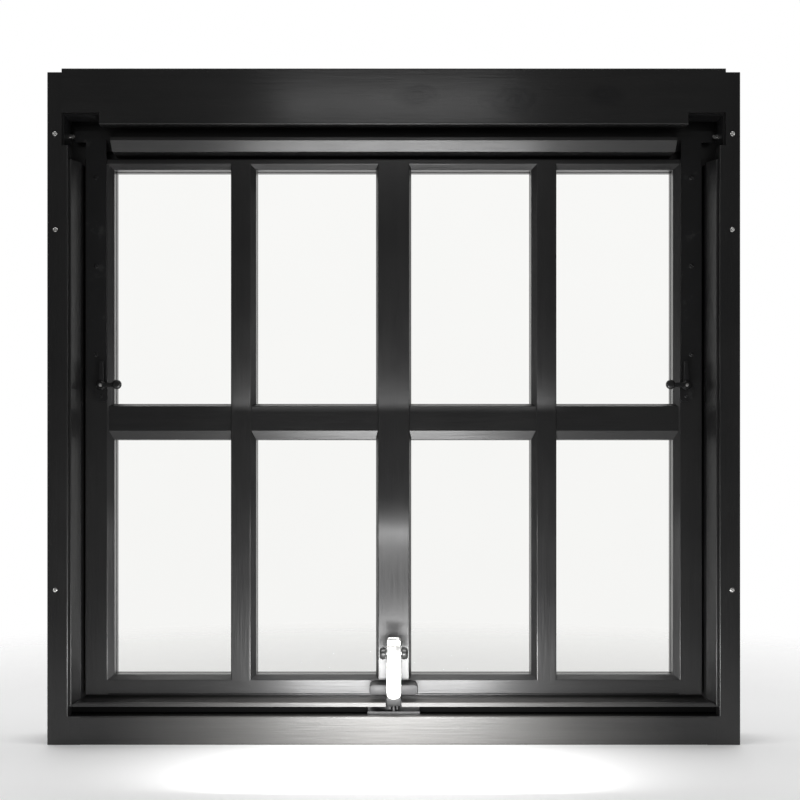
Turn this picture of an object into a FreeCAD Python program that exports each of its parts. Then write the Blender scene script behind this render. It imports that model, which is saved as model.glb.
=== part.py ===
"""Top-hung timber window: a fixed frame, an eight-pane sash that swings outwards at the
bottom, and a crank operator.  Millimetres, +X to the right seen from the room, +Y
outwards, +Z up.  The origin is under the middle of the sill, in the plane of the frame."""
import FreeCAD, Part
import math
import os

V = FreeCAD.Vector

# ---- driving dimensions ------------------------------------------------------------
FRAME_W = 1000.0          # over the jambs
FRAME_H = 970.0           # jamb height
HEADER_TOP = 976.0        # the header board stands proud of the jambs
ROOM_Y = -50.0            # room face of the casing boards
CASING_Y = -28.0          # casing boards end, liner starts
OUTER_Y = 50.0            # weather face of the liner
EASE = 2.0                # rounding of a timber arris
ARRIS = 1.5               # rounding of the narrower arrises of stops and sash
FIT = 0.3                 # gap between pieces that move past each other

CASING_X = 470.0          # inner edge of the jamb boards
LINER_X = 476.0           # inner face of the jamb liner
STRIP_X = 479.0           # jamb strip beside the header board
HEADER_Z = 895.0          # underside of the header board
NOTCH_X = 425.0           # the hinge notch reaches in to here
NOTCH_Z = (865.0, 912.0)
SILL_BOARD_TOP = 41.0
GROOVE_Y = -10.0          # back of the shadow groove above the sill board
SILL_TOP = 54.0           # liner sill under the stop
JAMB_FOOT_X = 452.5       # the jamb boards widen beside the sill board

STOP_Y = (-44.0, 5.0)     # front and back of the stops
STOP_X = 457.0            # sight line of the side stops
STOP_SILL_TOP = 62.0
STOP_END_Z = 846.0        # the side stops end under the hinge recess
STOP_HEAD_X = 410.0
STOP_HEAD_Z = (860.0, 878.5)
SPLAY_Y = -24.0           # the stops' splay ends at this depth
SOFFIT_Z = 912.0
HEAD_WEB_Z = 868.0
HEAD_DROP_Z = 892.0       # underside of the head behind the sash
STOP_FLAT = 3.0           # flat of the side stops before their splay
STOP_NOSE = 6.0           # upright nose of the sill stop
BAND_NOSE = 5.0           # upright nose of the stop band
BAND_SPLAY = 14.0         # depth of the band's splay
WEB_FRONT = 0.0           # room face of the web under the head
SEAL_X = (STOP_X + 2.0, STOP_X + 9.0)
SEAL_HEAD_Z = (HEAD_WEB_Z + 2.0, HEAD_WEB_Z + 8.0)
SILL_FALL = (38.0, 32.0)  # the weather side of the sill falls outwards
DRIP_Y = (40.0, 44.0)     # drip groove under the sill
DRIP_DEPTH = 4.0

SASH_FACE = -12.0         # room face of the sash
SASH_LIP = 8.0            # front of the rear lip that closes on the stops
SASH_BACK = 28.0
SASH_X = 454.0
LIP_X = 468.0
SASH_Z = (67.0, 854.0)
LIP_Z = (60.0, 884.0)
LIP_REAR_TOP = 876.0      # the top edge is bevelled so that it clears the head
GLASS_X = 412.5           # sight lines
GLASS_Z = (95.0, 840.0)
MID_Z = (441.5, 494.5)
BAR_X = (203.0, 239.5)    # glazing bar, from its splayed side to its square side
MULLION_HALF = 26.0
REBATE = 8.0
GLASS_Y = (10.0, 14.0)
GLASS_GAP = 2.0
SPLAY_BACK = -3.0

PIVOT_Y = -8.0
PIVOT_Z = 888.0
PIN_R = 4.0
EYE_R = 6.5
EYE_X = (456.0, 468.0)
PIN_X = (454.5, 486.0)
STRAP_X = (422.0, 452.0)
STRAP_T = 3.0
STRAP_EAR_Z = 878.0       # the ear clears the web below it as the sash turns
STRAP_END_Z = (495.0, 521.0)
STRAP_SCREWS = [(437.0, 566.0), (437.0, 696.0), (437.0, 826.0)]

LOCK_X = 429.0
LOCK_Z = 521.0
SPUR_REACH = 36.0
SPUR_Y = (-20.8, -17.2)
KNOB_TIP_X = 396.0
LOCK_SCREW = (LOCK_X, LOCK_Z - 16.0)
LOCK_SCREW_SIZE = (2.6, 6.0)
LOCK_FACE = SPUR_Y[1] + FIT
LOCK_BASE_HALF = 9.0
LOCK_BASE_Z = (LOCK_Z - 24.0, LOCK_Z + 11.0)
LOCK_HUB_R = 7.0
LOCK_POST_R = 3.0
LOCK_DOME_R = 4.5
LOCK_DOME_H = 4.0
SPUR_CLEAR = 1.5          # the stop's pocket is this much longer than the spur
SPUR_HALF = (4.5, 3.5)    # half width at the hub and at the tip
HANDLE_HALF = (4.0, 3.0)
HANDLE_Y = (SPUR_Y[0] - 3.0, SPUR_Y[1] - 1.0)
KNOB_R = (5.2, 7.0)       # at the tip and at the neck
KNOB_FRONT = SPUR_Y[0] - 16.0
KEEPER_T = 2.0
KEEPER_W = 7.0
KEEPER_HALF = 8.0
BRACKET_T = 3.0

CRANK_Z = 79.0
CRANK_TOP = 157.0
CRANK_HALF = 10.8
CRANK_Y = (-68.0, -60.0)
GRIP_Z = 134.0
GRIP_R = 8.75
GRIP_HALF = 20.5
HOUSING_HALF = 35.0
HOUSING_Z = (71.0, 86.5)
HOUSING_Y = (-46.0, -14.0)
SHAFT_Y = -20.5           # upright drive shaft
SHAFT_R = 3.0
PINION_R = 4.5
SECTOR_R = 36.0
ARM_PIVOT_Y = SHAFT_Y + PINION_R + SECTOR_R
ARM_LENGTH = 300.0
ARM_Z = (49.5, 54.0)
SECTOR_Z = (45.0, 49.5)
TRACK_Z = 57.5            # underside of the sash track, clear above the roller
ARM_HALF = 6.0
ARM_HUB_R = 10.0
ARM_POST_R = 4.0
SECTOR_TURN = (-166, -123, -80)   # degrees: its two ends and its middle
ROLLER_R = 5.0
ROLLER_T = 2.8
ROLLER_PIN_R = 2.0
TRACK_X = (90.0, 340.0)
TRACK_Y = (12.0, 24.0)
SPINDLE_R = 3.5
BEVEL_R = (4.7, 1.7)
BEVEL_Z = (CRANK_Z - 5.0, CRANK_Z - 2.0)
BEVEL_Y = (SHAFT_Y - 5.0, SHAFT_Y - 2.0)
HOLLOW_HALF = 9.0         # room for the bevels inside the housing
HOLLOW_Y = (-33.0, SHAFT_Y + 5.0)
HOUSING_LID = 1.5
NECK_FRONT = HOUSING_Y[0] + 6.0
NECK_BACK = SHAFT_Y + 6.3
CRANK_TAPER = 1.5
BOSS_R = 7.5
RIVET_Z = 104.0
RIVET_R = 2.0
RIVET_DEPTH = 5.0
RIVET_PROUD = 0.8
CAP_H = 12.0
CAP_PROUD = 1.5
GRIP_PIN_R = 2.5
GRIP_PIN_INSET = 4.0
CASE_HALF = 38.0
CASE_Z = (40.0, 44.0)
CASE_FLOOR = CASE_Z[0] - 6.0
CASE_Y = (-26.5, 32.0)
RUNNING = 0.05


# ---- helpers -----------------------------------------------------------------------
def block(x, y, z):
    """A box between pairs of coordinates."""
    low = V(min(x), min(y), min(z))
    return Part.makeBox(abs(x[1] - x[0]), abs(y[1] - y[0]), abs(z[1] - z[0]), low)


def place(u, v, axis, at):
    """A profile point (u, v) in the plane across the axis."""
    if axis == "X":
        return V(at, u, v)
    if axis == "Y":
        return V(u, at, v)
    return V(u, v, at)


def rounded_corner(before, corner, after, radius):
    """Start, middle and end of the tangent arc that eases a corner."""
    to_a = before.sub(corner)
    to_b = after.sub(corner)
    to_a.normalize()
    to_b.normalize()
    half = to_a.getAngle(to_b) / 2
    bisector = to_a.add(to_b)
    bisector.normalize()
    tangent = radius / math.tan(half)
    centre = corner.add(bisector * (radius / math.sin(half)))
    return corner.add(to_a * tangent), centre.sub(bisector * radius), corner.add(to_b * tangent)


def prism(points, axis, span, eased=(), radius=EASE):
    """Extrude an outline along an axis; corners listed in eased are rounded."""
    corners = [place(u, v, axis, span[0]) for u, v in points]
    edges = []
    first = None
    last = None
    for i, corner in enumerate(corners):
        start, end = corner, corner
        arc = None
        if i in eased:
            start, middle, end = rounded_corner(corners[i - 1], corner,
                                                corners[(i + 1) % len(corners)], radius)
            arc = Part.Arc(start, middle, end).toShape()
        if last is not None:
            edges.append(Part.makeLine(last, start))
        if arc is not None:
            edges.append(arc)
        first = first or start
        last = end
    edges.append(Part.makeLine(last, first))
    along = {"X": V(1, 0, 0), "Y": V(0, 1, 0), "Z": V(0, 0, 1)}[axis]
    return Part.Face(Part.Wire(edges)).extrude(along * (span[1] - span[0]))


def rod(radius, centre, axis, span):
    """A cylinder round an axis line; centre holds the other two coordinates."""
    direction = {"X": V(1, 0, 0), "Y": V(0, 1, 0), "Z": V(0, 0, 1)}[axis]
    base = place(centre[0], centre[1], axis, min(span))
    return Part.makeCylinder(radius, abs(span[1] - span[0]), base, direction)


def cone(r1, r2, centre, axis, span):
    """A cone frustum from span[0], of radius r1, to span[1], of radius r2."""
    sign = 1 if span[1] > span[0] else -1
    direction = {"X": V(sign, 0, 0), "Y": V(0, sign, 0), "Z": V(0, 0, sign)}[axis]
    base = place(centre[0], centre[1], axis, span[0])
    return Part.makeCone(r1, r2, abs(span[1] - span[0]), base, direction)


def mirrored(shape):
    return shape.mirror(V(0, 0, 0), V(1, 0, 0))


def save(node, *solids):
    """Write one node, as one solid or as a group of separate solids."""
    shape = solids[0] if len(solids) == 1 else Part.makeCompound(list(solids))
    shape.exportStep("parts/" + node + ".step")


def save_pair(name, shape):
    """The right-hand piece and its mirror image."""
    save(name + "_right", shape)
    save(name + "_left", mirrored(shape))


def screw(x, z, y_face, radius=3.4, length=12.0, slot=0.9):
    """A pan-head screw, driven outwards from a face that looks at the room."""
    head_t = 1.6
    head = cone(radius * 0.72, radius, (x, z), "Y", (y_face - head_t, y_face))
    cut = block((x - radius, x + radius), (y_face - head_t, y_face - head_t / 2),
                (z - slot / 2, z + slot / 2))
    return head.cut(cut).fuse(rod(radius * 0.5, (x, z), "Y", (y_face, y_face + length)))


def screw_hole(x, z, y_face, radius=3.4, length=12.0):
    return rod(radius * 0.5, (x, z), "Y", (y_face, y_face + length))


def lock_screw_hole():
    return screw_hole(*LOCK_SCREW, LOCK_FACE, *LOCK_SCREW_SIZE)


# ---- casing boards -----------------------------------------------------------------
CASING_SCREWS = [(488.0, 743.0), (488.0, 223.5)]
HINGE_SCREW = (488.5, 881.0)


def casing():
    half = FRAME_W / 2
    header = prism([(ROOM_Y, HEADER_Z), (CASING_Y, HEADER_Z), (CASING_Y, HEADER_TOP),
                    (ROOM_Y, HEADER_TOP)], "X", (-STRIP_X, STRIP_X), eased=(0, 3))
    for side in (-1, 1):
        header = header.cut(block((side * NOTCH_X, side * (STRIP_X + 1)), (ROOM_Y, CASING_Y),
                                  (HEADER_Z, NOTCH_Z[1])))
    save("header_board", header)
    save("sill_board", prism([(ROOM_Y, 0), (CASING_Y, 0), (CASING_Y, SILL_BOARD_TOP),
                              (ROOM_Y, SILL_BOARD_TOP)], "X", (-JAMB_FOOT_X, JAMB_FOOT_X),
                             eased=(0, 3)))
    jamb = prism([(CASING_X, ROOM_Y), (half, ROOM_Y), (half, CASING_Y), (CASING_X, CASING_Y)],
                 "Z", (0, FRAME_H), eased=(0, 1))
    jamb = jamb.cut(block((0, STRIP_X), (ROOM_Y, CASING_Y), (NOTCH_Z[0], FRAME_H)))
    foot = prism([(JAMB_FOOT_X, ROOM_Y), (CASING_X + EASE * 2, ROOM_Y),
                  (CASING_X + EASE * 2, CASING_Y), (JAMB_FOOT_X, CASING_Y)],
                 "Z", (0, SILL_BOARD_TOP))
    jamb = jamb.fuse(foot).removeSplitter()
    for x, z in CASING_SCREWS + [HINGE_SCREW]:
        jamb = jamb.cut(screw_hole(x, z, ROOM_Y))
    save_pair("jamb_board", jamb)
    screws = []
    for x, z in CASING_SCREWS + [HINGE_SCREW]:
        one = screw(x, z, ROOM_Y)
        screws += [one, mirrored(one)]
    save("casing_screws", *screws)


# ---- liner -------------------------------------------------------------------------
FIXING_Y = 40.0
FIXING_Z = (200.0, 760.0)
FIXING_R = 3.0


def liner():
    half = FRAME_W / 2
    jamb = prism([(LINER_X, CASING_Y), (half, CASING_Y), (half, OUTER_Y), (LINER_X, OUTER_Y)],
                 "Z", (0, FRAME_H), eased=(2, 3))
    jamb = jamb.cut(block((LINER_X, STRIP_X), (CASING_Y, -2.0), NOTCH_Z))
    jamb = jamb.cut(rod(PIN_R, (PIVOT_Y, PIVOT_Z), "X", (STRIP_X - 1, PIN_X[1])))
    for z in FIXING_Z:
        jamb = jamb.cut(rod(FIXING_R, (FIXING_Y, z), "X", (LINER_X - 1, half + 1)))
    save_pair("frame_jamb", jamb)
    head = prism([(CASING_Y, SOFFIT_Z), (STOP_Y[1], SOFFIT_Z), (STOP_Y[1], HEAD_DROP_Z),
                  (OUTER_Y, HEAD_DROP_Z), (OUTER_Y, FRAME_H), (CASING_Y, FRAME_H)],
                 "X", (-LINER_X, LINER_X), eased=(3,))
    save("frame_head", head)
    sill = prism([(CASING_Y, 0), (OUTER_Y, 0), (OUTER_Y, SILL_FALL[1]),
                  (STOP_Y[1] + 1, SILL_FALL[0]),
                  (STOP_Y[1] + 1, SILL_TOP), (GROOVE_Y, SILL_TOP), (GROOVE_Y, SILL_BOARD_TOP),
                  (CASING_Y, SILL_BOARD_TOP)],
                 "X", (-LINER_X, LINER_X), eased=(2,))
    sill = sill.cut(block((-LINER_X, LINER_X), DRIP_Y, (0, DRIP_DEPTH)))
    sill = sill.cut(block((-CASE_HALF, CASE_HALF), CASE_Y, (CASE_FLOOR, SILL_TOP)))
    save("frame_sill", sill)


# ---- stops and seal ----------------------------------------------------------------
def stops():
    front, back = STOP_Y
    side = prism([(CASING_X, front), (CASING_X - STOP_FLAT, front), (STOP_X, SPLAY_Y), (STOP_X, back),
                  (LINER_X, back), (LINER_X, CASING_Y), (CASING_X, CASING_Y)],
                 "Z", (SILL_TOP, STOP_END_Z), eased=(1, 2), radius=ARRIS)
    sill = prism([(front, SILL_TOP), (front, SILL_TOP + STOP_NOSE), (SPLAY_Y, STOP_SILL_TOP),
                  (back, STOP_SILL_TOP), (back, SILL_TOP)], "X", (-LINER_X, LINER_X),
                 eased=(1,), radius=ARRIS)
    sill = sill.cut(block((CASING_X, LINER_X + 1), (front - 1, CASING_Y), (0, FRAME_H)))
    sill = sill.cut(block((-CASING_X, -LINER_X - 1), (front - 1, CASING_Y), (0, FRAME_H)))
    fall = (STOP_SILL_TOP - SILL_TOP) / (CASING_X - STOP_X)
    mitre = prism([(LINER_X + 1, SILL_TOP - fall * (LINER_X + 1 - CASING_X)),
                   (STOP_X, STOP_SILL_TOP), (STOP_X, STOP_END_Z + 1),
                   (LINER_X + 1, STOP_END_Z + 1)], "Y", (front - 1, back + 1))
    side = side.common(mitre)
    sill = sill.cut(mitre).cut(mirrored(mitre))
    sill = sill.cut(block((-CRANK_HALF - 1, CRANK_HALF + 1), (front - 1, NECK_BACK + 2.2),
                          (SILL_TOP, STOP_SILL_TOP)))
    slot = (SPUR_Y[0] - 2 * FIT, SPUR_Y[1] + KEEPER_T)
    side = side.cut(rod(SPUR_REACH + SPUR_CLEAR, (LOCK_X, LOCK_Z), "Y", slot))
    web = block((STOP_X - 3, LINER_X), (WEB_FRONT, back), (STOP_END_Z, HEAD_WEB_Z))
    keeper = block((STOP_X, STOP_X + KEEPER_W), (LOCK_FACE, SPUR_Y[1] + KEEPER_T),
                   (LOCK_Z - KEEPER_HALF, LOCK_Z + KEEPER_HALF))
    save_pair("stop_side", side)
    save("lock_keepers", keeper, mirrored(keeper))
    save("stop_sill", sill)
    band = prism([(front, STOP_HEAD_Z[1]), (front, STOP_HEAD_Z[1] - BAND_NOSE),
                  (front + BAND_SPLAY, STOP_HEAD_Z[0]), (back, STOP_HEAD_Z[0]), (back, HEAD_WEB_Z),
                  (WEB_FRONT, HEAD_WEB_Z), (WEB_FRONT, SOFFIT_Z), (SASH_FACE, SOFFIT_Z),
                  (SASH_FACE, STOP_HEAD_Z[1])], "X", (-STOP_HEAD_X, STOP_HEAD_X),
                 eased=(0, 1, 2), radius=ARRIS)
    save("stop_head", band)
    head = block((-LINER_X, LINER_X), (WEB_FRONT, back), (HEAD_WEB_Z, SOFFIT_Z))
    save("head_web", head.fuse(web).fuse(mirrored(web)).removeSplitter())


def seal():
    y = (STOP_Y[1], SASH_LIP - FIT)
    side = block(SEAL_X, y, (STOP_SILL_TOP, SEAL_HEAD_Z[0]))
    sill = block((-SEAL_X[1], SEAL_X[1]), y, (SILL_TOP + 1, STOP_SILL_TOP))
    head = block((-SEAL_X[1], SEAL_X[1]), y, SEAL_HEAD_Z)
    save("frame_seal", side, mirrored(side), sill, head)


# ---- sash --------------------------------------------------------------------------
def sash_upright(points, eased):
    return prism(points, "Z", (GLASS_Z[0] - 20, GLASS_Z[1] + 20), eased=eased, radius=ARRIS)


def stile():
    member = prism([(SASH_X, SASH_FACE), (GLASS_X + 9, SASH_FACE), (GLASS_X, SPLAY_BACK),
                    (GLASS_X, GLASS_Y[0]), (GLASS_X + REBATE, GLASS_Y[0]),
                    (GLASS_X + REBATE, SASH_BACK), (LIP_X, SASH_BACK), (LIP_X, SASH_LIP),
                    (SASH_X, SASH_LIP)], "Z", LIP_Z, eased=(0, 1, 2), radius=ARRIS)
    step = (SASH_FACE - 1, SASH_LIP)
    member = member.cut(block((0, LIP_X), step, (LIP_Z[0], SASH_Z[0])))
    member = member.cut(block((0, LIP_X), step, (SASH_Z[1], LIP_Z[1])))
    for x, z in STRAP_SCREWS:
        member = member.cut(screw_hole(x, z, SASH_FACE - STRAP_T))
    member = member.cut(lock_screw_hole())
    return member.cut(top_bevel())


def top_bevel():
    """The wedge taken off the top edge of the sash."""
    return prism([(SASH_LIP, LIP_Z[1]), (SASH_BACK + 1, LIP_REAR_TOP - 0.45),
                  (SASH_BACK + 1, LIP_Z[1] + 1), (SASH_LIP, LIP_Z[1] + 1)],
                 "X", (-LIP_X - 1, LIP_X + 1))


def rail(edge, glass, lip, lip_rear, stiles):
    """Top or bottom rail: outer edge, sight line, lip, and the lip's rear height."""
    into = 1 if glass > edge else -1
    bar = prism([(SASH_FACE, edge), (SASH_FACE, glass - into * 7), (SPLAY_BACK, glass),
                 (GLASS_Y[0], glass), (GLASS_Y[0], glass - into * REBATE),
                 (SASH_BACK, glass - into * REBATE), (SASH_BACK, lip_rear), (SASH_LIP, lip),
                 (SASH_LIP, edge)], "X", (-GLASS_X - 10, GLASS_X + 10),
                eased=(0, 1, 2), radius=ARRIS)
    return biggest(bar.cut(stiles[0]).cut(stiles[1]))


def biggest(shape):
    """The member itself, without the offcuts that scribing its ends leaves."""
    return max(shape.Solids, key=lambda solid: solid.Volume)


def sash():
    right = stile()
    left = mirrored(right)
    top = rail(SASH_Z[1], GLASS_Z[1], LIP_Z[1], LIP_REAR_TOP, (right, left))
    bottom = rail(SASH_Z[0], GLASS_Z[0], LIP_Z[0], LIP_Z[0], (right, left))
    half = MULLION_HALF
    mullion = sash_upright([(-half + 3.5, SASH_FACE), (half - 3.5, SASH_FACE), (half, -5),
                            (half, GLASS_Y[0]), (half - REBATE, GLASS_Y[0]),
                            (half - REBATE, SASH_BACK), (REBATE - half, SASH_BACK),
                            (REBATE - half, GLASS_Y[0]), (-half, GLASS_Y[0]), (-half, -5)],
                           (0, 1, 2, 9))
    inner, outer = BAR_X
    bar = sash_upright([(outer, SASH_FACE), (inner + 8, SASH_FACE), (inner, SPLAY_BACK),
                        (inner, GLASS_Y[0]), (inner + REBATE, GLASS_Y[0]),
                        (inner + REBATE, SASH_BACK), (outer - REBATE, SASH_BACK),
                        (outer - REBATE, GLASS_Y[0]), (outer, GLASS_Y[0])], (0, 1, 2))
    bars = [mirrored(bar), mullion, bar]
    names = ["glazing_bar_left", "centre_mullion", "glazing_bar_right"]
    for i, name in enumerate(names):
        bars[i] = biggest(bars[i].cut(top).cut(bottom))
        save(name, bars[i])
    low, high = MID_Z
    middle = prism([(SASH_FACE + 2, low + 13), (SASH_FACE + 2, high - 4), (SPLAY_BACK, high),
                    (GLASS_Y[0], high), (GLASS_Y[0], high - REBATE),
                    (SASH_BACK, high - REBATE), (SASH_BACK, low + REBATE),
                    (GLASS_Y[0], low + REBATE), (GLASS_Y[0], low), (SPLAY_BACK, low)],
                   "X", (-GLASS_X - 10, GLASS_X + 10), eased=(0, 1, 2, 9), radius=ARRIS)
    for piece in bars + [right, left]:
        middle = middle.cut(piece)
    lengths = sorted(middle.Solids, key=lambda solid: solid.Volume)[-4:]
    lengths.sort(key=lambda solid: solid.CenterOfMass.x)
    for i, solid in enumerate(lengths):
        save("middle_rail_" + str(i + 1), solid)
    save_pair("stile", right)
    save("top_rail", top)
    save("bottom_rail", bottom)


def light_spans():
    """Sight-line spans of the four columns and the two rows of panes."""
    inner, outer = BAR_X
    columns = [(-GLASS_X, -outer), (-inner, -MULLION_HALF), (MULLION_HALF, inner),
               (outer, GLASS_X)]
    rows = [(GLASS_Z[0], MID_Z[0]), (MID_Z[1], GLASS_Z[1])]
    return columns, rows


def glazing():
    columns, rows = light_spans()
    grow = REBATE - GLASS_GAP
    bead_y = (GLASS_Y[1], SASH_BACK - 2)
    beads = []
    for row, z in zip(("lower", "upper"), rows):
        for i, x in enumerate(columns):
            pane = block((x[0] - grow, x[1] + grow), GLASS_Y, (z[0] - grow, z[1] + grow))
            save("pane_" + row + "_" + str(i + 1), pane)
            for low, end in ((z[0] - REBATE, z[0]), (z[1], z[1] + REBATE)):
                beads.append(block((x[0] - REBATE, x[1] + REBATE), bead_y, (low, end)))
            for low, end in ((x[0] - REBATE, x[0]), (x[1], x[1] + REBATE)):
                beads.append(block((low, end), bead_y, z))
    save("glazing_beads", *beads)


# ---- hinges ------------------------------------------------------------------------
def hinges():
    t = BRACKET_T
    side = block((STRIP_X - t, STRIP_X), (ROOM_Y + 4, -2.5), NOTCH_Z)
    flange = block((NOTCH_X + 1, STRIP_X - t), (ROOM_Y + 4, -12.5), (NOTCH_Z[1] - t, NOTCH_Z[1]))
    bracket = side.fuse(flange).removeSplitter()
    bracket = bracket.cut(rod(PIN_R, (PIVOT_Y, PIVOT_Z), "X", (STRIP_X - t - 1, STRIP_X + 1)))
    save("hinge_brackets", bracket, mirrored(bracket))
    pin = rod(PIN_R, (PIVOT_Y, PIVOT_Z), "X", PIN_X)
    save("hinge_pins", pin, mirrored(pin))
    low, high = STRAP_END_Z
    y = (SASH_FACE - STRAP_T, SASH_FACE)
    plate = prism([(STRAP_X[0], low), (STRAP_X[1], high), (STRAP_X[1], STRAP_EAR_Z),
                   (EYE_X[1], STRAP_EAR_Z), (EYE_X[1], PIVOT_Z + EYE_R),
                   (STRAP_X[0] + 14, PIVOT_Z + EYE_R), (STRAP_X[0], PIVOT_Z - EYE_R)], "Y", y)
    strap = plate.fuse(rod(EYE_R, (PIVOT_Y, PIVOT_Z), "X", EYE_X))
    strap = strap.cut(rod(PIN_R + RUNNING, (PIVOT_Y, PIVOT_Z), "X", PIN_X))
    screws = []
    for x, z in STRAP_SCREWS:
        strap = strap.cut(screw_hole(x, z, SASH_FACE - STRAP_T))
        one = screw(x, z, SASH_FACE - STRAP_T)
        screws += [one, mirrored(one)]
    save_pair("hinge_strap", strap.cut(lock_screw_hole()))
    return screws


# ---- side locks --------------------------------------------------------------------
def locks():
    face = SASH_FACE - STRAP_T
    low, high = LOCK_BASE_Z
    base = prism([(LOCK_X - LOCK_BASE_HALF, low), (LOCK_X + LOCK_BASE_HALF, low),
                  (LOCK_X + LOCK_BASE_HALF, high), (LOCK_X - LOCK_BASE_HALF, high)], "Y",
                 (LOCK_FACE, face), eased=(0, 1, 2, 3), radius=6.0)
    axis = (LOCK_X, LOCK_Z)
    bore = rod(LOCK_POST_R + RUNNING, axis, "Y", (SPUR_Y[1], face + 1))
    save_pair("lock_base", base.cut(bore).cut(lock_screw_hole()))
    root, tip = SPUR_HALF
    spur_end = LOCK_Z + SPUR_REACH - 1
    spur = prism([(LOCK_X - root, LOCK_Z), (LOCK_X + root, LOCK_Z), (LOCK_X + tip, spur_end),
                  (LOCK_X - tip, spur_end)], "Y", SPUR_Y, eased=(2, 3), radius=3.0)
    root, tip = HANDLE_HALF
    knob_x = KNOB_TIP_X + KNOB_R[1]
    handle = prism([(LOCK_X, LOCK_Z - root), (LOCK_X, LOCK_Z + root), (knob_x, LOCK_Z + tip),
                    (knob_x, LOCK_Z - tip)], "Y", HANDLE_Y)
    post = rod(LOCK_POST_R, axis, "Y", (HANDLE_Y[1], face))
    dome = cone(LOCK_DOME_R, LOCK_HUB_R, axis, "Y", (SPUR_Y[0] - LOCK_DOME_H, SPUR_Y[0]))
    lever = rod(LOCK_HUB_R, axis, "Y", SPUR_Y)
    for piece in (spur, handle, post, dome):
        lever = lever.fuse(piece)
    save_pair("lock_lever", lever.removeSplitter())
    save_pair("lock_knob", cone(*KNOB_R, (knob_x, LOCK_Z), "Y", (KNOB_FRONT, HANDLE_Y[0])))
    one = screw(*LOCK_SCREW, LOCK_FACE, *LOCK_SCREW_SIZE)
    return [one, mirrored(one)]


# ---- crank operator ----------------------------------------------------------------
def operator():
    bevel_housing()
    gear_case()
    drive_train()
    operator_arm()
    save("sash_track", block(TRACK_X, TRACK_Y, (TRACK_Z, LIP_Z[0])))


def bevel_housing():
    housing = prism([(-HOUSING_HALF, HOUSING_Z[0]), (HOUSING_HALF, HOUSING_Z[0]),
                     (HOUSING_HALF, HOUSING_Z[1]), (-HOUSING_HALF, HOUSING_Z[1])], "Y",
                    HOUSING_Y, eased=(0, 1, 2, 3), radius=5.0)
    neck = block((-CRANK_HALF, CRANK_HALF), (NECK_FRONT, NECK_BACK), (SILL_TOP, HOUSING_Z[0]))
    housing = housing.fuse(neck).removeSplitter()
    hollow = block((-HOLLOW_HALF, HOLLOW_HALF), HOLLOW_Y, (SILL_TOP, HOUSING_Z[1] - HOUSING_LID))
    bore = rod(SPINDLE_R + RUNNING, (0, CRANK_Z), "Y", (HOUSING_Y[0] - 1, HOLLOW_Y[0] + 3))
    save("operator_housing", housing.cut(hollow.fuse(bore)))


def gear_case():
    case = block((-CASE_HALF, CASE_HALF), CASE_Y, (CASE_FLOOR, CASE_Z[1]))
    case = case.fuse(rod(ARM_POST_R, (0, ARM_PIVOT_Y), "Z", (CASE_Z[1], ARM_Z[1] + 1)))
    bore = rod(SHAFT_R + RUNNING, (0, SHAFT_Y), "Z", (CASE_Z[0] - 2, CASE_Z[1] + 1))
    save("operator_case", case.cut(bore))


def drive_train():
    shaft = rod(SHAFT_R, (0, SHAFT_Y), "Z", (CASE_Z[0], BEVEL_Z[0]))
    pinion = rod(PINION_R - FIT, (0, SHAFT_Y), "Z", SECTOR_Z)
    bevel = cone(*BEVEL_R, (0, SHAFT_Y), "Z", BEVEL_Z)
    save("drive_shaft", shaft.fuse(pinion).fuse(bevel).removeSplitter())
    spindle = rod(SPINDLE_R, (0, CRANK_Z), "Y", (CRANK_Y[1], BEVEL_Y[0]))
    bevel = cone(*BEVEL_R, (0, CRANK_Z), "Y", BEVEL_Y)
    save("crank_spindle", spindle.fuse(bevel).removeSplitter())


def operator_arm():
    pivot = (0, ARM_PIVOT_Y)
    reach = 2 * SECTOR_R + 8
    wedge = [pivot]
    for degrees in SECTOR_TURN:
        angle = math.radians(degrees)
        wedge.append((reach * math.cos(angle), ARM_PIVOT_Y + reach * math.sin(angle)))
    sector = rod(SECTOR_R - FIT, pivot, "Z", SECTOR_Z).common(prism(wedge, "Z", SECTOR_Z))
    sector = sector.fuse(rod(ARM_HUB_R, pivot, "Z", SECTOR_Z))
    bore = rod(ARM_POST_R + RUNNING, pivot, "Z", (SECTOR_Z[0] - 1, ARM_Z[1] + 1))
    save("sector_gear", sector.cut(bore).removeSplitter())
    end = (ARM_LENGTH, ARM_PIVOT_Y)
    arm = block((0, ARM_LENGTH), (ARM_PIVOT_Y - ARM_HALF, ARM_PIVOT_Y + ARM_HALF), ARM_Z)
    arm = arm.fuse(rod(ARM_HUB_R, pivot, "Z", ARM_Z)).fuse(rod(ARM_HALF, end, "Z", ARM_Z))
    arm = arm.cut(bore).fuse(rod(ROLLER_PIN_R, end, "Z", (ARM_Z[0], ARM_Z[1] + 3)))
    save("operator_arm", arm.removeSplitter())
    roller = rod(ROLLER_R, end, "Z", (ARM_Z[1] + FIT, ARM_Z[1] + ROLLER_T))
    save("arm_roller", roller.cut(rod(ROLLER_PIN_R + RUNNING, end, "Z",
                                      (ARM_Z[1], ARM_Z[1] + 3))))


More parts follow.
